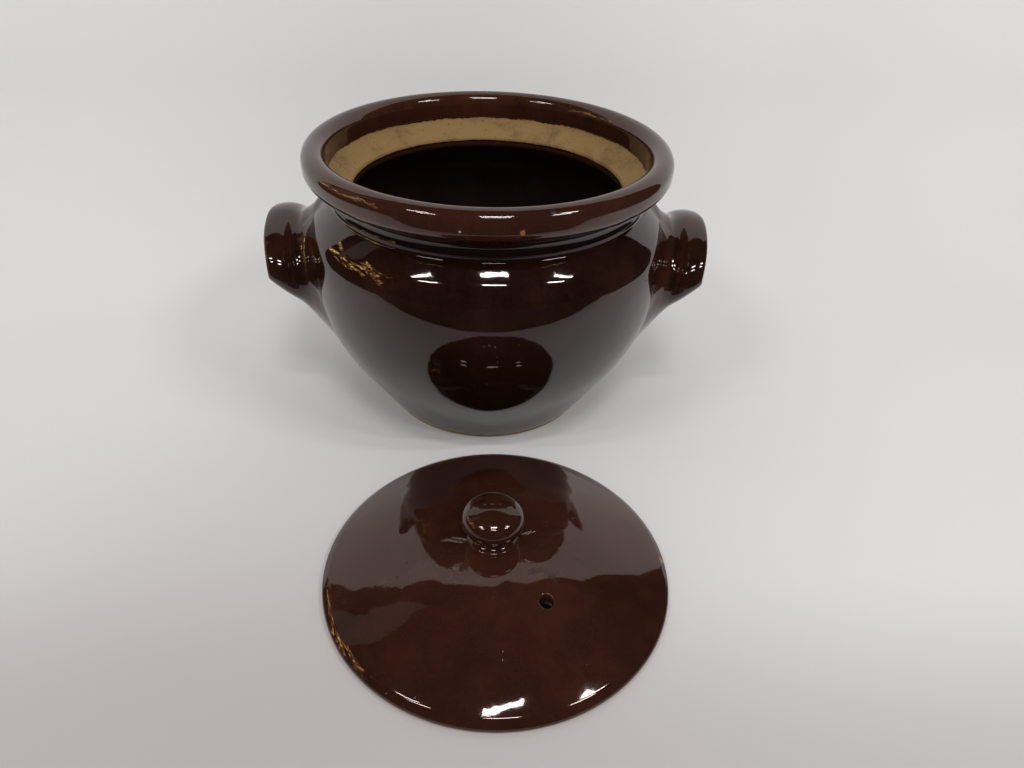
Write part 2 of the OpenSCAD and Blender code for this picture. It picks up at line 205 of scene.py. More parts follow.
def treacleGlazeGroup():
    # Brown glaze that breaks to amber where it is thin, and goes nearly black where it pools.
    look = glazeLook
    tree, given, result = newGroup(
        "treacleGlaze",
        [("Coordinates", "Vector", None), ("Deep", "Color", (0.03, 0.008, 0.005, 1)),
         ("Warm", "Color", (0.08, 0.025, 0.012, 1)), ("Amber", "Color", (0.32, 0.12, 0.03, 1)),
         ("Tone", "Float", 0), ("Thin", "Float", 0), ("Pool", "Float", 0), ("Mottle", "Float", 0.5),
         ("Pinholes", "Float", 0.5), ("Swell", "Float", 0.0003)],
        [("Color", "Color"), ("Roughness", "Float"), ("Height", "Float")])
    place = given["Coordinates"]
    cloud = fade(tree, noiseAt(tree, place, look["cloudScale"], 4, 0.6), *look["cloudRange"])
    runs = noiseAt(tree, place, look["runScale"], 3, 0.6, look["runStretch"])
    runs = fade(tree, runs, *look["runRange"])
    grain = fade(tree, noiseAt(tree, place, look["grainScale"], 3, 0.7), *look["grainRange"])
    patches = calc(tree, "MULTIPLY_ADD", runs, look["runShare"], cloud)
    tone = calc(tree, "MULTIPLY_ADD", patches, given["Mottle"], given["Tone"], clamp=True)
    colour = blend(tree, tone, given["Deep"], given["Warm"])
    colour = blend(tree, product(tree, grain, look["grainShare"]), colour, given["Warm"])
    breaks = fade(tree, noiseAt(tree, place, look["thinScale"], 4, 0.7), *look["thinRange"])
    colour = blend(tree, product(tree, given["Thin"], breaks), colour, given["Amber"])
    colour = blend(tree, product(tree, given["Pool"], look["poolShare"]), colour, look["poolTone"])
    # scattered pinholes, each a small dark pit
    pit = cellSpecks(tree, place, look["pitCells"], look["pitBorder"], look["pitRarity"])
    pit = product(tree, pit, given["Pinholes"])
    colour = blend(tree, product(tree, pit, look["pitShare"]), colour, look["pitTone"])
    smear = fade(tree, noiseAt(tree, place, look["smearScale"], 5, 0.7), *look["smearRange"])
    roughness = calc(tree, "MULTIPLY_ADD", smear, look["smearDullness"], look["roughness"])
    roughness = calc(tree, "MULTIPLY_ADD", pit, look["pitDullness"], roughness)
    peel = product(tree, noiseAt(tree, place, look["peelScale"], 1, 0.5), look["peelHeight"])
    swell = noiseAt(tree, place, look["swellScale"], 1, 0.4)
    height = calc(tree, "MULTIPLY_ADD", swell, given["Swell"], peel)
    height = calc(tree, "MULTIPLY_ADD", pit, look["pitHeight"], height)
    for socket, label in ((colour, "Color"), (roughness, "Roughness"), (height, "Height")):
        tree.links.new(socket, result[label])
    return tree


clayLook = dict(
    blotScale=46, blotRange=(0.46, 0.70), sandScale=900, sandRange=(0.3, 0.7), sandShare=0.35,
    sandTone=(0.46, 0.30, 0.115), sandHeight=0.00012, sandDullness=0.15, roughness=0.72,
    speckCells=420, speckBorder=(0.1, 0.28), speckRarity=(0.90, 0.92), speckTone=(0.03, 0.012, 0.007))


def bareClayGroup():
    # Dry buff stoneware with darker stains, iron specks and a sandy grain.
    look = clayLook
    tree, given, result = newGroup(
        "bareClay",
        [("Coordinates", "Vector", None), ("Clay", "Color", (0.24, 0.16, 0.07, 1)),
         ("Stain", "Color", (0.09, 0.045, 0.02, 1)), ("Stains", "Float", 0.5)],
        [("Color", "Color"), ("Roughness", "Float"), ("Height", "Float")])
    place = given["Coordinates"]
    blot = fade(tree, noiseAt(tree, place, look["blotScale"], 5, 0.7), *look["blotRange"])
    colour = blend(tree, product(tree, blot, given["Stains"]), given["Clay"], given["Stain"])
    sand = fade(tree, noiseAt(tree, place, look["sandScale"], 4, 0.8), *look["sandRange"])
    colour = blend(tree, product(tree, sand, look["sandShare"]), colour, look["sandTone"])
    speck = cellSpecks(tree, place, look["speckCells"], look["speckBorder"], look["speckRarity"])
    colour = blend(tree, speck, colour, look["speckTone"])
    roughness = calc(tree, "MULTIPLY_ADD", sand, look["sandDullness"], look["roughness"])
    height = product(tree, sand, look["sandHeight"])
    for socket, label in ((colour, "Color"), (roughness, "Roughness"), (height, "Height")):
        tree.links.new(socket, result[label])
    return tree


markLook = dict(tornScale=420, tornShare=1.6, tornLeast=0.2, border=(0.7, 1.0), dullness=0.35)


def glazeMarkGroup():
    # 1 inside a small spot with a torn border.
    tree, given, result = newGroup(
        "spot",
        [("Coordinates", "Vector", None), ("Centre", "Vector", None), ("Radius", "Float", 0.002)],
        [("Mask", "Float")])
    place = given["Coordinates"]
    ends = {0: place, 1: given["Centre"]}
    away = addNode(tree, "VectorMath", links=ends, operation="DISTANCE").outputs["Value"]
    torn = noiseAt(tree, place, markLook["tornScale"], 3, 0.75)
    torn = calc(tree, "MULTIPLY_ADD", torn, markLook["tornShare"], markLook["tornLeast"])
    share = calc(tree, "DIVIDE", product(tree, away, torn), given["Radius"])
    mask = calc(tree, "SUBTRACT", 1, fade(tree, share, *markLook["border"]))
    tree.links.new(mask, result["Mask"])
    return tree


raggedEdge, treacleGlaze = raggedEdgeGroup(), treacleGlazeGroup()
bareClay, glazeMark = bareClayGroup(), glazeMarkGroup()


def newMaterial(name):
    material = bpy.data.materials.new(name)
    material.use_nodes = True
    tree = material.node_tree
    place = addNode(tree, "TexCoord").outputs["Object"]
    return material, tree, tree.nodes["Principled BSDF"], place


def borderMask(tree, place, value, limit, wander, softness):
    values = {"Limit": limit, "Wander": wander, "Softness": softness}
    return useGroup(tree, raggedEdge, values, {"Coordinates": place, "Value": value}).outputs["Mask"]


glazeTones = dict(
    Deep=(0.0085, 0.0029, 0.0021, 1), Warm=(0.082, 0.0255, 0.0155, 1), Amber=(0.26, 0.095, 0.024, 1))
clayTones = dict(Clay=(0.275, 0.160, 0.046, 1), Stain=(0.080, 0.034, 0.014, 1))
glassBend = 1.62  # the glaze's index of refraction, higher than window glass for a strong sheen


def useGlaze(tree, place, values, links):
    return useGroup(tree, treacleGlaze, {**glazeTones, **values}, {"Coordinates": place, **links}).outputs


def useClay(tree, place, stains):
    return useGroup(tree, bareClay, {**clayTones, "Stains": stains}, {"Coordinates": place}).outputs


def mixSurface(tree, mask, glaze, clay):
    # Colour, roughness and height of glaze where the mask is 0, of clay where it is 1.
    colour = blend(tree, mask, glaze["Color"], clay["Color"])
    values = []
    for label in ("Roughness", "Height"):
        ends = {"Factor": mask, 2: glaze[label], 3: clay[label]}
        values.append(addNode(tree, "Mix", links=ends, data_type="FLOAT").outputs[0])
    return colour, *values


def addMarks(tree, place, colour, roughness, marks):
    # Small dull marks in the glaze: place and radius in millimetres, strength and colour of each.
    for centre, radius, strength, tone in marks:
        values = {"Centre": [c * mm for c in centre], "Radius": radius * mm}
        mask = useGroup(tree, glazeMark, values, {"Coordinates": place}).outputs["Mask"]
        colour = blend(tree, product(tree, mask, strength), colour, tone)
        roughness = calc(tree, "MULTIPLY_ADD", mask, markLook["dullness"] * strength, roughness)
    return colour, roughness


def joinSurface(tree, shader, colour, roughness, height, tint):
    # The iron in the glaze warms its sheen a little, so the sheen has a tint.
    bump = addNode(tree, "Bump", {"Strength": 1.0, "Distance": 1.0}, {"Height": height})
    ends = {"Base Color": colour, "Roughness": roughness, "Normal": bump.outputs[0]}
    fillNode(tree, shader, {"IOR": glassBend, "Specular Tint": tint}, ends)


# heights and radii in metres, as the materials read them
potLook = dict(
    ledgeTop=0.1722, ledgeTopWander=0.0030, ledgeLow=0.1598, ledgeLowWander=0.0012,
    footTop=0.0036, footWander=0.0008, softness=0.0002, stains=0.75,
    rollFade=(0.170, 0.176), rollTone=0.30, thinFade=(0.112, 0.1075), thin=0.05,
    neckZ=0.1600, neckFade=(0.0085, 0.0015), bellyFade=(0.136, 0.088), bellyDarkening=0.86,
    glaze=dict(Mottle=0.20, Swell=0.00032), tint=(1, 0.92, 0.90, 1),
    insideFade=(0.1595, 0.1575), insideDullness=0.34, bandFade=(0.128, 0.156), bandShare=0.6,
    bandTone=(0.075, 0.022, 0.010))
potMarks = [
    ((18.6, -119.8, 179.1), 1.9, 0.75, (0.33, 0.13, 0.02)),  # amber chip on the roll
    ((-15.1, -120.3, 179.3), 0.8, 0.9, (0.45, 0.40, 0.35)),  # pale speck left of it
    ((34.6, -112.5, 189.0), 2.2, 0.9, (0.006, 0.003, 0.003)),  # dark mark on the roll's top
    ((57.8, 89.2, 166.0), 4.0, 0.6, (0.09, 0.055, 0.055)),  # smudges on the ledge
    ((76.4, 74.7, 166.6), 2.6, 0.5, (0.10, 0.05, 0.03))]


def potMaterial():
    look = potLook
    material, tree, shader, place = newMaterial("potGlaze")
    xyz = addNode(tree, "SeparateXYZ", links={"Vector": place}).outputs
    flat = addNode(tree, "CombineXYZ", links={"X": xyz["X"], "Y": xyz["Y"]}).outputs[0]
    radius = addNode(tree, "VectorMath", links={0: flat}, operation="LENGTH").outputs["Value"]
    height = xyz["Z"]
    inner = addNode(tree, "Attribute", attribute_name="inner").outputs["Fac"]
    outer = calc(tree, "SUBTRACT", 1, inner)
    # the clay is bare on the ledge inside the mouth and under the foot
    soft = look["softness"]
    top = borderMask(tree, place, height, look["ledgeTop"], look["ledgeTopWander"], soft)
    under = borderMask(tree, place, height, look["ledgeLow"], look["ledgeLowWander"], soft)
    foot = borderMask(tree, place, height, look["footTop"], look["footWander"], soft)
    ledge = product(tree, top, calc(tree, "SUBTRACT", 1, under), inner)
    bare = calc(tree, "MAXIMUM", ledge, foot)
    # the glaze is thinner and warmer on the roll and runs thick into the neck, and the belly is darker
    # towards the bottom
    roll = fade(tree, height, *look["rollFade"])
    thin = product(tree, roll, fade(tree, radius, *look["thinFade"]), look["thin"])
    neck = calc(tree, "ABSOLUTE", calc(tree, "SUBTRACT", height, look["neckZ"]))
    neck = product(tree, fade(tree, neck, *look["neckFade"]), outer)
    # darker towards the bottom of the belly; pool carries this together with the neck's thick glaze
    belly = product(tree, fade(tree, height, *look["bellyFade"]), look["bellyDarkening"])
    pool, tone = calc(tree, "MAXIMUM", neck, belly), product(tree, roll, look["rollTone"])
    glaze = useGlaze(tree, place, look["glaze"], {"Thin": thin, "Pool": pool, "Tone": tone})
    clay = useClay(tree, place, look["stains"])
    colour, roughness, bumps = mixSurface(tree, bare, glaze, clay)
    # below the throat the glaze is duller, and browner just under the edge
    depth = product(tree, inner, fade(tree, height, *look["insideFade"]))
    roughness = calc(tree, "MULTIPLY_ADD", depth, look["insideDullness"], roughness)
    band = product(tree, depth, fade(tree, height, *look["bandFade"]), look["bandShare"])
    colour = blend(tree, band, colour, look["bandTone"])
    colour, roughness = addMarks(tree, place, colour, roughness, potMarks)
    joinSurface(tree, shader, colour, roughness, bumps, look["tint"])
    return material


handleLook = dict(thin=0.06, glaze=dict(Mottle=0.34, Tone=0.04, Swell=0.00030), tint=(1, 0.88, 0.85, 1))


def handleMaterial():
    material, tree, shader, place = newMaterial("handleGlaze")
    thin = addNode(tree, "Attribute", attribute_name="thin").outputs["Fac"]
    pool = addNode(tree, "Attribute", attribute_name="pool").outputs["Fac"]
    links = {"Thin": product(tree, thin, handleLook["thin"]), "Pool": pool}
    glaze = useGlaze(tree, place, handleLook["glaze"], links)
    joinSurface(tree, shader, glaze["Color"], glaze["Roughness"], glaze["Height"], handleLook["tint"])
    return material


lidLook = dict(
    bareTop=0.0016, bareWander=0.0016, softness=0.00015, stains=0.6, glaze=dict(Mottle=0.24, Swell=0.00055),
    tone=0.20, knobFade=(0.032, 0.040), knobTone=-0.18, tint=(1, 0.82, 0.78, 1))
darkMark = (0.010, 0.005, 0.004)
lidMarks = [
    ((25.7, -222.0, 28.0), 2.6, 0.35, darkMark),  # an arc of blisters behind the vent
    ((29.5, -220.8, 27.8), 2.6, 0.30, darkMark),
    ((33.3, -221.6, 27.2), 2.6, 0.30, darkMark),
    ((36.6, -224.2, 26.5), 2.5, 0.35, darkMark),
    ((38.8, -227.8, 25.6), 2.2, 0.35, darkMark),
    ((51.4, -211.5, 24.9), 1.5, 0.6, darkMark),  # two pits right of the arc
    ((54.0, -213.0, 24.3), 1.2, 0.5, darkMark),
    ((105.1, -194.9, 5.9), 2.4, 0.8, (0.30, 0.17, 0.07)),  # nick in the right edge
    ((-40.0, -205.0, 24.0), 1.4, 0.5, darkMark)]  # one pit at the left


def lidMaterial():
    look = lidLook
    material, tree, shader, place = newMaterial("lidGlaze")
    height = addNode(tree, "SeparateXYZ", links={"Vector": place}).outputs["Z"]
    bare = borderMask(tree, place, height, look["bareTop"], look["bareWander"], look["softness"])
    tone = calc(tree, "MULTIPLY_ADD", fade(tree, height, *look["knobFade"]), look["knobTone"], look["tone"])
    glaze = useGlaze(tree, place, look["glaze"], {"Tone": tone})
    colour, roughness, bumps = mixSurface(tree, bare, glaze, useClay(tree, place, look["stains"]))
    colour, roughness = addMarks(tree, place, colour, roughness, lidMarks)
    joinSurface(tree, shader, colour, roughness, bumps, look["tint"])
    return material


potGlaze, handleGlaze, lidGlaze = potMaterial(), handleMaterial(), lidMaterial()
print("materials made")

# the thrown pot
pot = dict(
    belly=(54, 117), bellyArc=70, turn=(95.08, 125.73), turnArc=28, shoulder=(7.32, 40.98), shoulderArc=150,
    flank=(-16, 117), flankArc=140, flankEnd=31.9, lowTurn=12, highTurn=44, wall=8.5,
    footLine=[(0, 0.6), (40, 0.6), (66, 0.5), (72, 0.1), (74.8, 0), (75.6, 0.2), (75.9, 0.8), (77.6, 3.4),
              (78.3, 4.1)],
    footEnd=(78.6, 4.3), creaseZ=155, creaseStep=0.15,
    creaseLine=[(104.9, 155.25), (104.75, 155.8), (104.95, 156.35), (105.4, 156.6)],
    cove=(111.8, 161), coveR=7.5, coveTurns=(216, 98),
    rollMid=113.5, rollLow=178.65, rollHigh=182.25, rollR=7.75, rollStart=-62,
    mouthR=105.75, mouthLow=172.6,
    ledgeEdge=[(105.65, 172.4), (105.3, 171.5), (104.6, 170.75), (103.6, 169.9)],
    ledgeEnd=(92.9, 162.2), ledgeTurn=(92.9, 162.15), throatR=91, throatTop=159.86, throatEdge=2.5,
    throatTurn=118, throatLine=[(91.05, 157.4), (91.2, 156), (92, 154.6)], rootZ=146,
    floor=10, cornerR=18, floorLine=[(34, 0.3), (20, 0.5), (6, 0.6), (0, 0.6)], steps=300,
    uneven=0.22, evenShare=0.75, waveShare=0.5, broad=70, close=34, closeShare=0.5, squeeze=3,
    seeds=(3.1, 7.7), stillR=20)


def wallRadius(z, inset=0.0):
    # Radius of the pot's wall at a height under the crease.
    if z >= pot["turn"][1] + (pot["turnArc"] - inset) * sin(radians(pot["highTurn"])):
        centre, radius = pot["shoulder"], pot["shoulderArc"]
    elif z >= pot["belly"][1] + (pot["bellyArc"] - inset) * sin(radians(pot["lowTurn"])):
        centre, radius = pot["turn"], pot["turnArc"]
    elif z >= pot["belly"][1]:
        centre, radius = pot["belly"], pot["bellyArc"]
    else:
        centre, radius = pot["flank"], pot["flankArc"]
        lowest = centre[1] - (radius - inset) * sin(radians(pot["flankEnd"]))
        if z < lowest:
            edge = centre[0] + (radius - inset) * cos(radians(pot["flankEnd"]))
            return edge - (lowest - z) * tan(radians(pot["flankEnd"]))
    return centre[0] + sqrt((radius - inset) ** 2 - (z - centre[1]) ** 2)


def wallOutline(inset, topZ, fine):
    # The wall from the end of the flank's curve up to a height.
    topTurn = degrees(asin((topZ - pot["shoulder"][1]) / (pot["shoulderArc"] - inset)))
    arcs = [("flank", -pot["flankEnd"], 0, 14), ("belly", 0, pot["lowTurn"], 3),
            ("turn", pot["lowTurn"], pot["highTurn"], 6), ("shoulder", pot["highTurn"], topTurn, 3)]
    points = []
    for name, start, end, steps in arcs:
        arc = arcPoints(pot[name], pot[name + "Arc"] - inset, start, end, steps * fine)
        points += arc[1:] if points else arc
    return points


def potOutline():
    # The outline from under the foot to the roll's inner side, then the rest down to the floor's middle.
    wall = wallOutline(0, pot["creaseZ"], 2)
    outside = pot["footLine"] + linePoints(pot["footEnd"], wall[0], 9) + wall[:-1]
    outside += [(wall[-1][0] - pot["creaseStep"], wall[-1][1])] + pot["creaseLine"]
    outside += arcPoints(pot["cove"], pot["coveR"], *pot["coveTurns"], 16)
    outside += arcPoints((pot["rollMid"], pot["rollLow"]), pot["rollR"], pot["rollStart"], 0, 10)
    outside += arcPoints((pot["rollMid"], pot["rollHigh"]), pot["rollR"], 0, 180, 30)
    inside = linePoints((pot["mouthR"], pot["rollHigh"]), (pot["mouthR"], pot["mouthLow"]), 6)
    inside += pot["ledgeEdge"] + linePoints(pot["ledgeEdge"][-1], pot["ledgeEnd"], 7) + [pot["ledgeTurn"]]
    throatMid = (pot["throatR"] + pot["throatEdge"], pot["throatTop"])
    inside += arcPoints(throatMid, pot["throatEdge"], pot["throatTurn"], 180, 6) + pot["throatLine"]
    innerWall = wallOutline(pot["wall"], pot["rootZ"], 1)[::-1]
    inside += linePoints(pot["throatLine"][-1], innerWall[0], 5) + innerWall
    cornerZ = pot["floor"] + pot["cornerR"]
    cornerX = wallRadius(cornerZ, pot["wall"]) - pot["cornerR"] / cos(radians(pot["flankEnd"]))
    corner = arcPoints((cornerX, cornerZ), pot["cornerR"], -pot["flankEnd"], -90, 8)
    inside += linePoints(innerWall[-1], corner[0], 3) + corner
    inside += [(radius, pot["floor"] + rise) for radius, rise in pot["floorLine"]]
    return outside, inside


def makePot():
    bm = bmesh.new()
    outside, inside = potOutline()
    spinOutline(bm, outside + inside, pot["steps"], len(outside))
    for vert in bm.verts:
        radius = hypot(vert.co.x, vert.co.y)
        if radius < pot["stillR"] * mm:
            continue
        squeezed = (vert.co.x, vert.co.y, pot["squeeze"] * vert.co.z)
        wave = waver(vert.co, pot["broad"], pot["seeds"][0])
        wave += pot["closeShare"] * waver(squeezed, pot["close"], pot["seeds"][1])
        shift = -pot["uneven"] * mm * (pot["evenShare"] + pot["waveShare"] * wave)
        vert.co.x *= 1 + shift / radius
        vert.co.y *= 1 + shift / radius
    finishPiece("thrownPot", bm, potGlaze, "pot", "pot_glaze", "pot_body")


makePot()
print("pot made")

# the two lug handles
lug = dict(
    reach=152.5, topZ=139, rise=30, halfLength=50, faceDrop=4, underSlope=1.22, midSlope=0.4,
    lipR=14, edgeR=3, grooveDepth=1.4, grooveX=126.5, flareR=12, flareShare=0.6, bulge=1, edgeAngle=28,
    arrisAngle=36, topShare=0.7, spread=0.55, spreadR=10, rootTop=152, innerX=100, archPower=1.75,
    bowlPower=2.3, points=96, backShares=(0.3, 0.6, 0.85), faceShares=(0.93, 0.8, 0.6, 0.35, 0.12, 0.0),
    seatZ=105, seatDepth=4, rootDepth=3, filletOut=7.0, filletShare=0.92, filletWall=8.0, filletTop=153.2,
    sink=0.5, uneven=0.30, evenShare=0.6, upShare=0.8, waves=(26, 20, 24), stillR=124, stirW=12)
# shares of thin and pooled glaze, and the width of the thin line along the arris
lugGlaze = dict(root=0.35, back=0.15, arrisW=1.1, groove=0.8, edge=0.25)
lug["edgeX"] = lug["reach"] - lug["bulge"] - lug["edgeR"]
lug["crestX"] = lug["edgeX"] - (lug["lipR"] - lug["edgeR"]) * sin(radians(lug["edgeAngle"]))
lug["edgeInset"] = lug["lipR"] - (lug["lipR"] - lug["edgeR"]) * cos(radians(lug["edgeAngle"]))
lug["arrisX"] = lug["crestX"] - lug["lipR"] * sin(radians(lug["arrisAngle"]))
lug["arrisInset"] = lug["lipR"] * (1 - cos(radians(lug["arrisAngle"])))
lug["grooveW"] = lug["arrisX"] - lug["grooveX"]


def lipInset(x):
    if x >= lug["arrisX"]:
        return lug["lipR"] - sqrt(max(0, lug["lipR"] ** 2 - (x - lug["crestX"]) ** 2))
    if x >= lug["grooveX"]:
        return lug["arrisInset"] + lug["grooveDepth"] * sin(pi * (x - lug["grooveX"]) / lug["grooveW"])
    return lug["arrisInset"]


def signedPower(value, power):
    return abs(value) ** power * (1 if value >= 0 else -1)


def lugPoint(x, turn, sideInset, topInset, share=1.0):
    # A point of the ring at distance x from the pot's middle: an arch above, a bowl below.
    away = max(0, lug["grooveX"] - x)
    halfLength = lug["halfLength"] - sideInset + lug["spread"] * away + away ** 2 / (2 * lug["spreadR"])
    flareX = lug["grooveX"] + lug["flareShare"] * lug["grooveW"]
    topZ = min(lug["topZ"] - topInset + max(0, flareX - x) ** 2 / (2 * lug["flareR"]), lug["rootTop"])
    midZ = lug["topZ"] - lug["rise"] + (x - lug["crestX"]) * lug["midSlope"]
    underZ = lug["topZ"] - lug["rise"] - lug["faceDrop"] - (lug["reach"] - x) * lug["underSlope"]
    above = sin(turn) >= 0
    tall = topZ - midZ if above else max(lug["faceDrop"], midZ - underZ)
    bend = 2 / (lug["archPower"] if above else lug["bowlPower"])
    y = share * min(halfLength, lug["halfLength"] + lug["spreadR"]) * signedPower(cos(turn), bend)
    z = midZ + share * tall * signedPower(sin(turn), bend)
    return Vector((x - y * y / (2 * lug["reach"]), y, z))


def sidePoint(x, turn):
    inset = lipInset(x)
    return lugPoint(x, turn, inset, lug["topShare"] * inset)


def outward(point):
    return Vector((point.x, point.y, 0)).normalized()


def filletLine(turn):
    # Where a line along the lug leaves its fillet, would meet the wall, and where the fillet lands on
    # the wall; then the distance from the pot's middle at which the fillet starts.
    low, high = lug["innerX"], lug["grooveX"]
    for _ in range(28):
        half = (low + high) / 2
        point = sidePoint(half, turn)
        inWall = hypot(point.x, point.y) <= wallRadius(point.z)
        low, high = (half, high) if inWall else (low, half)
    start = high + min(lug["filletOut"], lug["filletShare"] * (lug["grooveX"] - high))
    meet = sidePoint(high, turn)
    along = Vector((-meet.y, meet.x, 0)).normalized() * meet.y + Vector((0, 0, meet.z - lug["seatZ"]))
    land = meet + along.normalized() * lug["filletWall"]
    land.z = min(land.z, lug["filletTop"])
    foot = outward(land) * (wallRadius(land.z) - lug["sink"])
    return sidePoint(start, turn), meet, Vector((foot.x, foot.y, land.z)), start


def lugRings():
    # Rings from inside the wall out to the face, each with its thin and pooled shares of glaze.
    turns = [2 * pi * (i + 0.5) / lug["points"] for i in range(lug["points"])]
    fillets = [filletLine(turn) for turn in turns]
    centre = Vector((wallRadius(lug["seatZ"]) - lug["seatDepth"], 0, lug["seatZ"]))
    rings = [([centre] * lug["points"], 0, 0)]
    rings.append(([land - outward(land) * lug["rootDepth"] for leave, meet, land, start in fillets], 0, 0))
    for i in range(11):
        t = 1 - i / 10
        parts = ((1 - t) ** 2, 2 * t * (1 - t), t ** 2)
        ring = [leave * parts[0] + meet * parts[1] + land * parts[2] for leave, meet, land, start in fillets]
        rings.append((ring, 0, lugGlaze["root"] * t))
    for share in lug["backShares"]:
        ring = []
        for turn, (leave, meet, land, start) in zip(turns, fillets):
            ring.append(sidePoint(start + (lug["grooveX"] - start) * share, turn))
        rings.append((ring, lugGlaze["back"] * share, 0))
    xs = [lug["grooveX"] + lug["grooveW"] * i / 10 for i in range(10)]
    sweep = [radians(-lug["arrisAngle"] + (lug["edgeAngle"] + lug["arrisAngle"]) * i / 14) for i in range(15)]
    xs += [lug["crestX"] + lug["lipR"] * sin(angle) for angle in sweep]
    for x in xs:
        thin = exp(-((x - lug["arrisX"]) / lugGlaze["arrisW"]) ** 2)
        pool = sin(pi * (x - lug["grooveX"]) / lug["grooveW"]) ** 2 if x < lug["arrisX"] else 0
        rings.append(([sidePoint(x, turn) for turn in turns], thin, lugGlaze["groove"] * pool))
    lipPart = (1 - lug["topShare"]) * (lug["edgeInset"] - lug["edgeR"] * cos(radians(lug["edgeAngle"])))
    for i in range(1, 7):
        angle = radians(lug["edgeAngle"] + (90 - lug["edgeAngle"]) * i / 6)
        inset = lug["edgeInset"] - lug["edgeR"] * cos(angle)
        x = lug["edgeX"] + lug["edgeR"] * sin(angle)
        ring = [lugPoint(x, turn, inset, inset - lipPart) for turn in turns]
        rings.append((ring, lugGlaze["edge"] * sin(angle * 2), 0))
    topInset = lug["edgeInset"] - lipPart
    for share in lug["faceShares"]:
        x = lug["edgeX"] + lug["edgeR"] + lug["bulge"] * (1 - share ** 2)
        rings.append(([lugPoint(x, turn, lug["edgeInset"], topInset, share) for turn in turns], 0, 0))
    return rings


def makeLug(name, side, node, seed):
    bm = bmesh.new()
    order = bm.verts.layers.int.new("order")
    thinLayer, poolLayer = bm.verts.layers.float.new("thin"), bm.verts.layers.float.new("pool")
    ring = bmesh.ops.create_circle(bm, segments=lug["points"], radius=1)["verts"]
    for i, vert in enumerate(ring):
        vert[order] = i
    edges = list(bm.edges)
    for number, (points, thin, pool) in enumerate(lugRings()):
        if number:
            made = bmesh.ops.extrude_edge_only(bm, edges=edges)["geom"]
            ring = [item for item in made if isinstance(item, bmesh.types.BMVert)]
            fresh = set(ring)
            edges = [item for item in made if isinstance(item, bmesh.types.BMEdge)]
            edges = [edge for edge in edges if set(edge.verts) <= fresh]
        for vert in ring:
            place = points[vert[order]]
            vert.co = Vector((side * place.x, place.y, place.z)) * mm
            vert[thinLayer], vert[poolLayer] = thin, pool
    bmesh.ops.remove_doubles(bm, verts=bm.verts, dist=weldGap)
    for vert in bm.verts:
        stir = unitShare((hypot(vert.co.x, vert.co.y) / mm - lug["stillR"]) / lug["stirW"])
        shift = stir * lug["uneven"] * mm * (waver(vert.co, lug["waves"][0], seed) - lug["evenShare"])
        vert.co.x += side * shift
        vert.co.y += shift * waver(vert.co, lug["waves"][1], seed + 5)
        vert.co.z += lug["upShare"] * shift * waver(vert.co, lug["waves"][2], seed + 9)
    finishPiece(name, bm, handleGlaze, "pot", "handle_glaze", node)


makeLug("rightLug", 1, "right_handle", 11.3)
makeLug("leftLug", -1, "left_handle", 4.9)
print("lugs made")

# the lid; each line of the vent gives radius beyond the vent's and height from the dome there
lid = dict(
    centre=(6.9, -198.7), radius=100, height=30, edgeT=5, middleT=7, ring=7.5, steps=320, edgeTurn=62,
    crownRise=1.1, crownR=45, crownW=16, vent=(25.8, -40.9), ventR=3.7, ventClear=2.2, splitZ=19, holeZ=20.5,
    ventTop=[(1.0, 0), (0.55, -0.12), (0.22, -0.5), (0, -1.3), (-0.1, -3.5)],
    ventUnder=[(0.4, 0.5), (1.2, 0)],
    uneven=0.425, evenShare=0.9, broad=50, close=24, closeShare=0.35, seeds=(5.2, 1.4),
    stillR=99, stirW=20, stillZ=2, stirH=6)
lid["domeH"] = lid["height"] - lid["edgeT"]
lid["domeR"] = (lid["radius"] ** 2 + lid["domeH"] ** 2) / (2 * lid["domeH"])
lid["hollowEdge"] = lid["radius"] - lid["edgeT"] / 2 - lid["ring"]
lid["hollowH"] = lid["height"] - lid["middleT"]
lid["hollowR"] = (lid["hollowEdge"] ** 2 + lid["hollowH"] ** 2) / (2 * lid["hollowH"])


def domeTop(radius):
    # A part of a ball, raised a little in a ring round its crown.
    crown = lid["crownRise"] * exp(-((radius - lid["crownR"]) / lid["crownW"]) ** 2)
    return lid["height"] - lid["domeR"] + sqrt(lid["domeR"] ** 2 - radius ** 2) + crown


def domeUnder(radius):
    return lid["hollowH"] - lid["hollowR"] + sqrt(lid["hollowR"] ** 2 - radius ** 2)


def lidOutline():
    edgeR = lid["edgeT"] / 2
    rounding = arcPoints((lid["radius"] - edgeR, edgeR), edgeR, lid["edgeTurn"], -90, 14)
    top = [(r, domeTop(r)) for r in [rounding[0][0] * i / 60 for i in range(60)]]
    under = [(r, domeUnder(r)) for r in [lid["hollowEdge"] * i / 26 for i in range(26, -1, -1)]]
    return top + rounding + linePoints(rounding[-1], under[0], 4) + under


def ventRing(bm, axis, slope, radius, height):
    # A ring round the vent's axis that leans as the dome does there.
    ring = set(bmesh.ops.create_circle(bm, segments=48, radius=radius * mm)["verts"])
    for vert in ring:
        offset = Vector((vert.co.x, vert.co.y, 0))
        vert.co = axis + offset + Vector((0, 0, height - offset.dot(slope)))
    return [edge for edge in bm.edges if set(edge.verts) <= ring]


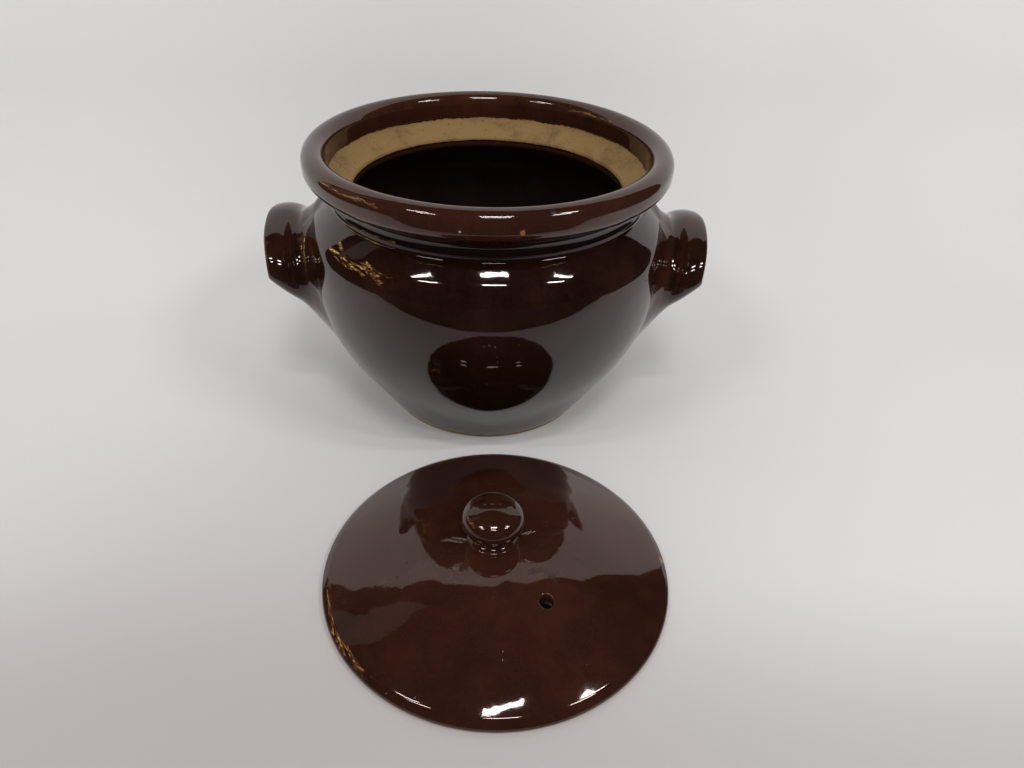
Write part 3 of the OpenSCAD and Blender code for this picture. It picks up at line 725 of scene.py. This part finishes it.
def openVent(bm):
    # The dome opens round the vent, and rings lead down through it.
    axis = Vector((*lid["vent"], 0)) * mm
    reach = (lid["ventR"] + lid["ventClear"]) * mm
    near = [vert for vert in bm.verts if (Vector((vert.co.x, vert.co.y, 0)) - axis).length < reach]
    topZs = [vert.co.z for vert in near if vert.co.z > lid["splitZ"] * mm]
    underZs = [vert.co.z for vert in near if vert.co.z <= lid["splitZ"] * mm]
    topZ, underZ = sum(topZs) / len(topZs), sum(underZs) / len(underZs)
    bmesh.ops.delete(bm, geom=near, context="VERTS")
    holes = [edge for edge in bm.edges if edge.is_boundary]
    topHole = [edge for edge in holes if (edge.verts[0].co.z + edge.verts[1].co.z) / 2 > lid["holeZ"] * mm]
    underHole = [edge for edge in holes if edge not in topHole]
    slope = axis.normalized() * tan(asin(axis.length / mm / lid["domeR"]))
    loops = [topHole]
    for line, level in ((lid["ventTop"], topZ), (lid["ventUnder"], underZ)):
        for beyond, rise in line:
            loops.append(ventRing(bm, axis, slope, lid["ventR"] + beyond, level + rise * mm))
    loops.append(underHole)
    for first, second in zip(loops, loops[1:]):
        bmesh.ops.bridge_loops(bm, edges=first + second)


def makeLid():
    bm = bmesh.new()
    spinOutline(bm, lidOutline(), lid["steps"])
    for vert in bm.verts:
        stir = unitShare((lid["stillR"] - hypot(vert.co.x, vert.co.y) / mm) / lid["stirW"])
        stir *= unitShare((vert.co.z / mm - lid["stillZ"]) / lid["stirH"])
        wave = waver(vert.co, lid["broad"], lid["seeds"][0])
        wave += lid["closeShare"] * waver(vert.co, lid["close"], lid["seeds"][1])
        vert.co.z += stir * lid["uneven"] * mm * (wave - lid["evenShare"])
    openVent(bm)
    bmesh.ops.translate(bm, verts=bm.verts, vec=Vector((*lid["centre"], 0)) * mm)
    finishPiece("lidDome", bm, lidGlaze, "lid", "lid_glaze", "lid")


makeLid()

# its knob; the collar's line is given from the collar's radius and top
knob = dict(
    radius=17.5, height=22, top=55, sideR=8, neckR=10.8, neckEase=0.9,
    coveR=3, coveTurns=(150, 255), coveEase=0.3, collarR=14.5, collarH=1,
    collarLine=[(-0.9, -0.05), (-0.3, -0.35), (-0.05, -0.9)], collarLow=29, rootZ=27.2,
    offset=2.5, steps=160, upUneven=0.35, sideUneven=0.25, evenShare=0.9, waves=(17, 15), seeds=(2.3, 6.1),
    stillZ=30, stirH=10)


def makeKnob():
    half, sideR, collarR = knob["height"] / 2, knob["sideR"], knob["collarR"]
    midZ, sideX = knob["top"] - half, knob["radius"] - sideR
    wideR = (sideX ** 2 + half ** 2 - sideR ** 2) / (2 * (half - sideR))
    touch = degrees(asin((wideR - half) / (wideR - sideR)))
    crown = arcPoints((0, midZ - wideR + half), wideR, 90, touch, 16)
    side = arcPoints((sideX, midZ), sideR, touch, -touch, 24)[1:]
    below = arcPoints((0, midZ + wideR - half), wideR, -touch, -90, 24)[1:]
    below = [point for point in below if point[0] > knob["neckR"] + knob["neckEase"]]
    collarZ = lid["height"] + knob["collarH"]
    coveMid = (knob["neckR"] + knob["coveR"], collarZ + knob["coveR"])
    cove = arcPoints(coveMid, knob["coveR"], *knob["coveTurns"], 12)
    cove = [point for point in cove if point[1] < below[-1][1] - knob["coveEase"]]
    collar = [(collarR + out, collarZ + up) for out, up in knob["collarLine"]]
    collar += [(collarR, knob["collarLow"]), (collarR, knob["rootZ"]), (0, knob["rootZ"])]
    bm = bmesh.new()
    spinOutline(bm, crown + side + below + cove + collar, knob["steps"])
    for vert in bm.verts:
        stir = unitShare((vert.co.z / mm - knob["stillZ"]) / knob["stirH"])
        upWave = waver(vert.co, knob["waves"][0], knob["seeds"][0]) - knob["evenShare"]
        vert.co.z += stir * knob["upUneven"] * mm * upWave
        vert.co.x += stir * knob["sideUneven"] * mm * waver(vert.co, knob["waves"][1], knob["seeds"][1])
    place = Vector((lid["centre"][0] - knob["offset"], lid["centre"][1], 0)) * mm
    bmesh.ops.translate(bm, verts=bm.verts, vec=place)
    finishPiece("ballKnob", bm, lidGlaze, "lid", "lid_glaze", "lid_knob")


makeKnob()
print("lid and knob made")

# table sheet, pale floor, and the dark room that only reflections see
stage = dict(
    turn=2.0, left=-0.72, right=0.70, front=-0.34, bend=0.10, back=0.262, top=0.94,
    floorHalf=12, floorZ=-0.003,
    pale=(0.87, 0.865, 0.86), dull=(0.83, 0.82, 0.815), cloudScale=2.2, cloudRange=(0.3, 0.7),
    # shade and frontShade are painted shadow on the sheet
    shade=(0.50, 0.44, 0.43), shadeAt=(-0.12, -0.43, 0), shadeRange=(0.42, 0.03),
    frontShade=(0.56, 0.53, 0.525), frontRange=(-0.19, -0.33), frontShare=0.80,
    glow=(1, 0.985, 0.975, 1), glowShare=0.09, glowRange=(0.0, 0.25))
turned = Matrix.Rotation(radians(stage["turn"]), 4, "Z")


def stagePiece(name, bm, material):
    mesh = bpy.data.meshes.new(name)
    bmesh.ops.transform(bm, matrix=turned, verts=bm.verts)
    bm.to_mesh(mesh)
    bm.free()
    mesh.materials.append(material)
    piece = bpy.data.objects.new(name, mesh)
    bpy.context.scene.collection.objects.link(piece)
    return piece


def paperMaterial(name):
    # Matt pale paper with faint clouds; its colour is joined to the shader by the caller.
    material, tree, shader, place = newMaterial(name)
    fillNode(tree, shader, {"Roughness": 1.0, "Specular IOR Level": 0.0}, {})
    clouds = fade(tree, noiseAt(tree, place, stage["cloudScale"], 2), *stage["cloudRange"])
    return material, tree, shader, place, blend(tree, clouds, stage["dull"], stage["pale"])


def sheetMaterial():
    # Painted shadow makes it darker towards the front; it is lit a little by itself where it rises, and clear
    # from behind.
    material, tree, shader, place, paper = paperMaterial("sheetPaper")
    # painted shadow: a soft dark patch round shadeAt
    away = addNode(tree, "VectorMath", {1: stage["shadeAt"]}, {0: place}, operation="DISTANCE")
    shaded = fade(tree, away.outputs["Value"], *stage["shadeRange"])
    paper = blend(tree, shaded, paper, stage["shade"])
    xyz = addNode(tree, "SeparateXYZ", links={"Vector": place}).outputs
    # painted shade, darker towards the sheet's front edge
    front = product(tree, fade(tree, xyz["Y"], *stage["frontRange"]), stage["frontShare"])
    paper = blend(tree, front, paper, stage["frontShade"])
    glow = product(tree, fade(tree, xyz["Z"], *stage["glowRange"]), stage["glowShare"])
    ends = {"Base Color": paper, "Emission Strength": glow}
    fillNode(tree, shader, {"Emission Color": stage["glow"]}, ends)
    behind = addNode(tree, "NewGeometry").outputs["Backfacing"]
    clear = addNode(tree, "BsdfTransparent").outputs[0]
    mix = addNode(tree, "MixShader", links={0: behind, 1: shader.outputs[0], 2: clear})
    tree.links.new(mix.outputs[0], tree.nodes["Material Output"].inputs["Surface"])
    return material


def makeSheet():
    bm = bmesh.new()
    bendR = stage["back"] - stage["bend"]
    turns = [radians(90 * i / 16) for i in range(1, 17)]
    points = [(stage["front"], 0), (stage["bend"], 0)]
    points += [(stage["bend"] + bendR * sin(t), bendR * (1 - cos(t))) for t in turns]
    points.append((stage["back"], stage["top"]))
    verts = [bm.verts.new((stage["left"], y, z)) for y, z in points]
    edges = [bm.edges.new(pair) for pair in zip(verts, verts[1:])]
    made = bmesh.ops.extrude_edge_only(bm, edges=edges)["geom"]
    far = [item for item in made if isinstance(item, bmesh.types.BMVert)]
    bmesh.ops.translate(bm, verts=far, vec=(stage["right"] - stage["left"], 0, 0))
    for face in bm.faces:
        if face.normal.z < -0.01 or face.normal.y > 0.01:
            face.normal_flip()
        face.smooth = True
    stagePiece("tableSheet", bm, sheetMaterial())


def makeFloor():
    # The pale floor that other views see beyond the sheet.
    material, tree, shader, place, paper = paperMaterial("paleFloor")
    tree.links.new(paper, shader.inputs["Base Color"])
    bm = bmesh.new()
    bmesh.ops.create_grid(bm, x_segments=1, y_segments=1, size=stage["floorHalf"])
    bmesh.ops.translate(bm, verts=bm.verts, vec=(0, 0, stage["floorZ"]))
    stagePiece("paleFloor", bm, material)


def addPanel(bm, corner, across, along):
    # A flat panel from one corner and its two sides.
    for vert in bmesh.ops.create_grid(bm, x_segments=1, y_segments=1, size=1)["verts"]:
        vert.co = Vector(corner) + Vector(across) * (vert.co.x + 1) / 2 + Vector(along) * (vert.co.y + 1) / 2


def mirroredPiece(name, bm, material):
    # A stage piece that only reflections see.
    card = stagePiece(name, bm, material)
    card.visible_camera = card.visible_diffuse = card.visible_shadow = False


room = dict(
    half=3.0, front=-3.0, high=3.2, floorZ=-0.002, glow=(0.020, 0.014, 0.011),
    dust=(0.01, 0.008, 0.007), dustScale=1.5,
    shelfAt=(-2.3, 0.30, 0.5), shelfWide=(1.15, 0, 0), shelfTall=(0, 0, 2.1), shelfGlow=(0.20, 0.19, 0.18))


def darkCard(name, corner, across, along, glow):
    # A dark panel with a faint light of its own.
    material, tree, shader, place = newMaterial(name)
    values = {"Roughness": 1.0, "Emission Color": (*glow, 1), "Emission Strength": 1.0}
    dust = blend(tree, noiseAt(tree, place, room["dustScale"], 2), (0.0, 0.0, 0.0), room["dust"])
    fillNode(tree, shader, values, {"Base Color": dust})
    bm = bmesh.new()
    addPanel(bm, corner, across, along)
    mirroredPiece(name, bm, material)


def makeRoom():
    half, front, high, glow = room["half"], room["front"], room["high"], room["glow"]
    wide, deep, tall = (2 * half, 0, 0), (0, half - front, 0), (0, 0, high)
    for name, *panel in (
            ("roomFloor", (-half, front, room["floorZ"]), wide, deep, glow),
            ("roomFront", (-half, front, 0), wide, tall, glow),
            ("roomBack", (-half, half, 0), wide, tall, glow),
            ("roomLeft", (-half, front, 0), deep, tall, glow),
            ("roomRight", (half, front, 0), deep, tall, glow),
            ("greyShelf", room["shelfAt"], room["shelfWide"], room["shelfTall"], room["shelfGlow"]),
            ("roomCeiling", (-half, front, high), wide, deep, glow)):
        darkCard(name, *panel)


# each panel of the warm light gives its near side, far side and top
warm = dict(
    x=-1.5, low=0.35, panels=((-0.68, 0.05, 1.15), (0.05, 0.95, 0.82)),
    deep=(0.95, 0.38, 0.07), pale=(1.0, 0.70, 0.28),
    streakScale=4.5, streakStretch=(1, 1, 1.5), streakRange=(0.49, 0.60),
    smallScale=14, smallStretch=(1, 1, 1.3), smallRange=(0.45, 0.60), strength=8.5, least=0.3)


def makeWarmGlow():
    # Warm light from a lit shelf at the left, in streaks.
    material, tree, shader, place = newMaterial("warmGlow")
    streaks = noiseAt(tree, place, warm["streakScale"], 4, 0.7, warm["streakStretch"])
    streaks = fade(tree, streaks, *warm["streakRange"])
    small = noiseAt(tree, place, warm["smallScale"], 3, 0.7, warm["smallStretch"])
    small = fade(tree, small, *warm["smallRange"])
    strength = product(tree, streaks, calc(tree, "MULTIPLY_ADD", small, warm["strength"], warm["least"]))
    colour = blend(tree, small, warm["deep"], warm["pale"])
    fillNode(tree, shader, {"Base Color": (0, 0, 0, 1), "Roughness": 1.0},
             {"Emission Color": colour, "Emission Strength": strength})
    bm = bmesh.new()
    for near, far, top in warm["panels"]:
        addPanel(bm, (warm["x"], near, warm["low"]), (0, far - near, 0), (0, 0, top - warm["low"]))
    mirroredPiece("warmGlow", bm, material)


makeWarmGlow()
makeSheet()
makeRoom()
makeFloor()
print("stage made")

# tube lamps in three pairs, and the sky
lampSet = dict(
    height=2.0, size=(0.5, 0.085), powers=(4.5, 5.5, 6.8), rows=(-0.18, 0.18),
    places=((-1.28, -1.05), (0.08, -1.15), (1.42, -1.02)))


def addLamp(name, place, power):
    light = bpy.data.lights.new(name, "AREA")
    light.shape = "RECTANGLE"
    light.size, light.size_y = lampSet["size"]
    light.energy = power
    lamp = bpy.data.objects.new(name, light)
    bpy.context.scene.collection.objects.link(lamp)
    lamp.location = turned @ Vector(place)
    lamp.rotation_euler = (0, 0, radians(stage["turn"]))
    lamp.visible_camera = False


for number, ((x, y), power) in enumerate(zip(lampSet["places"], lampSet["powers"])):
    for row in lampSet["rows"]:
        addLamp(f"tube{number}", (x, y + row, lampSet["height"]), power)

# pale where it is seen or mirrored, dimmer where it lights matt surfaces
sky = dict(seen=(0.74, 0.74, 0.745, 1), lighting=(1.0, 0.985, 0.975, 1), lightingStrength=0.40)
world = bpy.data.worlds.new("room")
bpy.context.scene.world = world
world.use_nodes = True
worldTree = world.node_tree
paleSky = worldTree.nodes["Background"]
paleSky.inputs["Color"].default_value = sky["seen"]
dimSky = addNode(worldTree, "Background", {"Color": sky["lighting"], "Strength": sky["lightingStrength"]})
rays = addNode(worldTree, "LightPath").outputs
seen = calc(worldTree, "MAXIMUM", rays["Is Glossy Ray"], rays["Is Transmission Ray"])
seen = calc(worldTree, "MAXIMUM", rays["Is Camera Ray"], seen)
skyMix = addNode(worldTree, "MixShader", links={0: seen, 1: dimSky.outputs[0], 2: paleSky.outputs[0]})
worldTree.links.new(skyMix.outputs[0], worldTree.nodes["World Output"].inputs["Surface"])

# camera; down, aside and roll are in degrees
view = dict(
    place=(-0.00075, -0.49438, 0.351), down=35.94, aside=2.5, roll=2.07, lens=26.585, sensor=36, clip=0.01)
down, aside, roll = radians(view["down"]), radians(view["aside"]), radians(view["roll"])
ahead = Vector((sin(aside) * cos(down), cos(aside) * cos(down), -sin(down)))
level = Vector((cos(aside), -sin(aside), 0))
upright = level.cross(ahead)
right = level * cos(roll) + upright * sin(roll)
up = upright * cos(roll) - level * sin(roll)
cameraData = bpy.data.cameras.new("camera")
cameraData.lens, cameraData.sensor_width, cameraData.clip_start = view["lens"], view["sensor"], view["clip"]
camera = bpy.data.objects.new("camera", cameraData)
bpy.context.scene.collection.objects.link(camera)
pose = Matrix((right, up, -ahead)).transposed().to_4x4()
pose.translation = Vector(view["place"])
camera.matrix_world = pose
bpy.context.scene.camera = camera
bpy.context.scene.view_settings.view_transform = "Standard"
print("light and camera made")
